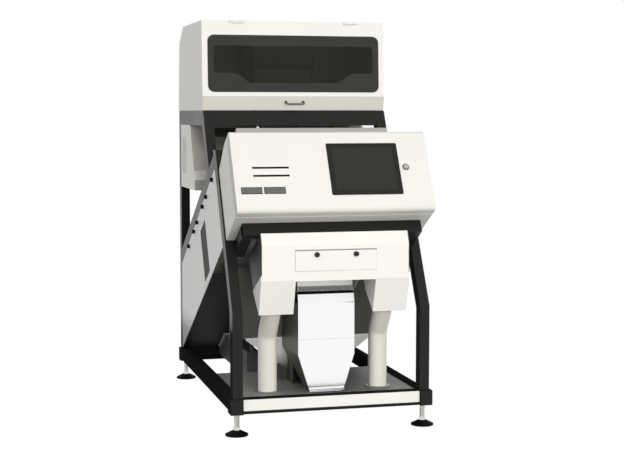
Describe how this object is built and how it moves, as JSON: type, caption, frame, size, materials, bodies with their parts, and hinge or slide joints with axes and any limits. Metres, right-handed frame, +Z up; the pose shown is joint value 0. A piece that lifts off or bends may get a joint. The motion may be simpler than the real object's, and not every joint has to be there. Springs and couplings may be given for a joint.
{
  "type": "color sorter",
  "caption": "Single-chute optical sorter on a tube frame: hood with feeder, slanted control box with screen, reject collector, outlet tubes and product chute.",
  "frame": {"origin": "on the floor, under the middle of the machine", "axes": "+X to the operator's right, +Y from the control panel to the rear, +Z up"},
  "size_m": [0.846, 1.3633, 1.633],
  "materials": {
    "frame_paint": "satin powder coat, black grey",
    "white_paint": "satin powder coat, warm white",
    "panel_grey": "satin powder coat, light grey",
    "dark_paint": "satin powder coat, dark grey",
    "base_grey": "satin powder coat, mid grey",
    "stainless": "brushed",
    "bright_steel": "polished",
    "spring_steel": "oiled",
    "dark_bolts": "blackened",
    "foot_rubber": "matt",
    "smoked_glass": "smoked",
    "clear_glass": "clear",
    "screen_glass": "gloss",
    "black_plastic": "matt",
    "outlet_plastic": "satin, ivory",
    "aluminium": "anodised",
    "tank_paint": "gloss, black",
    "module_case": "matt, grey"
  },
  "bodies": {
    "frame": {"corner_blocks": "frame_paint", "base_rails": "frame_paint", "front_fascia": "white_paint", "base_plate": "base_grey", "foot_pads": "foot_rubber", "front_posts": "frame_paint", "upper_posts": "frame_paint", "rear_posts": "frame_paint", "diagonal_beams": "frame_paint", "top_rails": "frame_paint", "side_panels": "panel_grey", "side_vents": "dark_paint", "control_box_cradle": "frame_paint", "control_box_shell": "white_paint", "hood_shell": "white_paint", "hinge_pins": "bright_steel", "feeder_deck": "frame_paint", "rubber_mounts": "foot_rubber", "feeder_base": "base_grey", "leaf_springs": "spring_steel", "feed_hopper": "stainless", "rear_optical_box": "white_paint", "sight_glasses": "clear_glass", "cameras": "black_plastic", "light_bars": "aluminium", "product_slide": "aluminium", "slide_ties": "frame_paint", "chute_cover": "stainless", "cover_bolts": "dark_bolts", "ejector_manifold": "aluminium", "ejector_valves": "black_plastic", "air_tank": "tank_paint", "air_pipe": "tank_paint", "bay_floor": "dark_paint", "access_plate": "white_paint", "collector": "white_paint", "outlet_tubes": "outlet_plastic", "chute_front": "white_paint", "chute_walls": "stainless", "dust_seal": "foot_rubber", "drop_funnel": "stainless", "drop_back_wall": "base_grey", "electrical_cabinet": "white_paint", "control_modules": "module_case", "rear_panel": "panel_grey"},
    "hood_cover": {"hood_cover": "white_paint", "hood_window": "smoked_glass", "hood_handle": "aluminium"},
    "control_panel": {"control_panel": "white_paint", "touch_screen": "screen_glass", "button_bezel": "bright_steel"},
    "start_button": {"start_button": "bright_steel"},
    "feeder_tray": {"feeder_tray": "stainless"},
    "feed_gate": {"feed_gate": "stainless"},
    "left_access_knob": {"left_access_knob": "black_plastic"},
    "right_access_knob": {"right_access_knob": "black_plastic"},
    "foot_stem_front_left": {"foot_stem_front_left": "bright_steel"},
    "foot_stem_front_right": {"foot_stem_front_right": "bright_steel"},
    "foot_stem_rear_left": {"foot_stem_rear_left": "bright_steel"},
    "foot_stem_rear_right": {"foot_stem_rear_right": "bright_steel"}
  },
  "joints": [
    {"name": "hood_cover_hinge", "type": "hinge", "parent": "frame", "child": "hood_cover", "pos_m": [0, 0.03305, 1.627], "axis": [-1, 0, 0], "range_deg": [0, 85]},
    {"name": "control_panel_hinge", "type": "hinge", "parent": "frame", "child": "control_panel", "pos_m": [0, -0.48063, 1.14978], "axis": [-1, 0, 0], "range_deg": [0, 80]},
    {"name": "start_button_press", "type": "slide", "parent": "control_panel", "child": "start_button", "axis": [0, 0.8746, -0.4848], "range_m": [0, 0.003], "stiffness_N_per_m": 1500},
    {"name": "feeder_vibration", "type": "slide", "parent": "frame", "child": "feeder_tray", "axis": [0, -1, 0], "range_m": [-0.001, 0.001], "stiffness_N_per_m": 60000, "deforming": ["leaf_springs"]},
    {"name": "feed_gate_lift", "type": "slide", "parent": "frame", "child": "feed_gate", "axis": [0, 0, 1], "range_m": [0, 0.04]},
    {"name": "left_access_knob_turn", "type": "hinge", "parent": "frame", "child": "left_access_knob", "pos_m": [-0.078, -0.65712, 0.70337], "axis": [0, -1, 0], "continuous": true},
    {"name": "right_access_knob_turn", "type": "hinge", "parent": "frame", "child": "right_access_knob", "pos_m": [0.078, -0.65712, 0.70337], "axis": [0, -1, 0], "continuous": true},
    {"name": "foot_front_left_turn", "type": "hinge", "parent": "frame", "child": "foot_stem_front_left", "pos_m": [-0.378, -0.57825, 0.02], "axis": [0, 0, 1], "continuous": true},
    {"name": "foot_front_right_turn", "type": "hinge", "parent": "frame", "child": "foot_stem_front_right", "pos_m": [0.378, -0.57825, 0.02], "axis": [0, 0, 1], "continuous": true},
    {"name": "foot_rear_left_turn", "type": "hinge", "parent": "frame", "child": "foot_stem_rear_left", "pos_m": [-0.378, 0.63675, 0.02], "axis": [0, 0, 1], "continuous": true},
    {"name": "foot_rear_right_turn", "type": "hinge", "parent": "frame", "child": "foot_stem_rear_right", "pos_m": [0.378, 0.63675, 0.02], "axis": [0, 0, 1], "continuous": true}
  ]
}
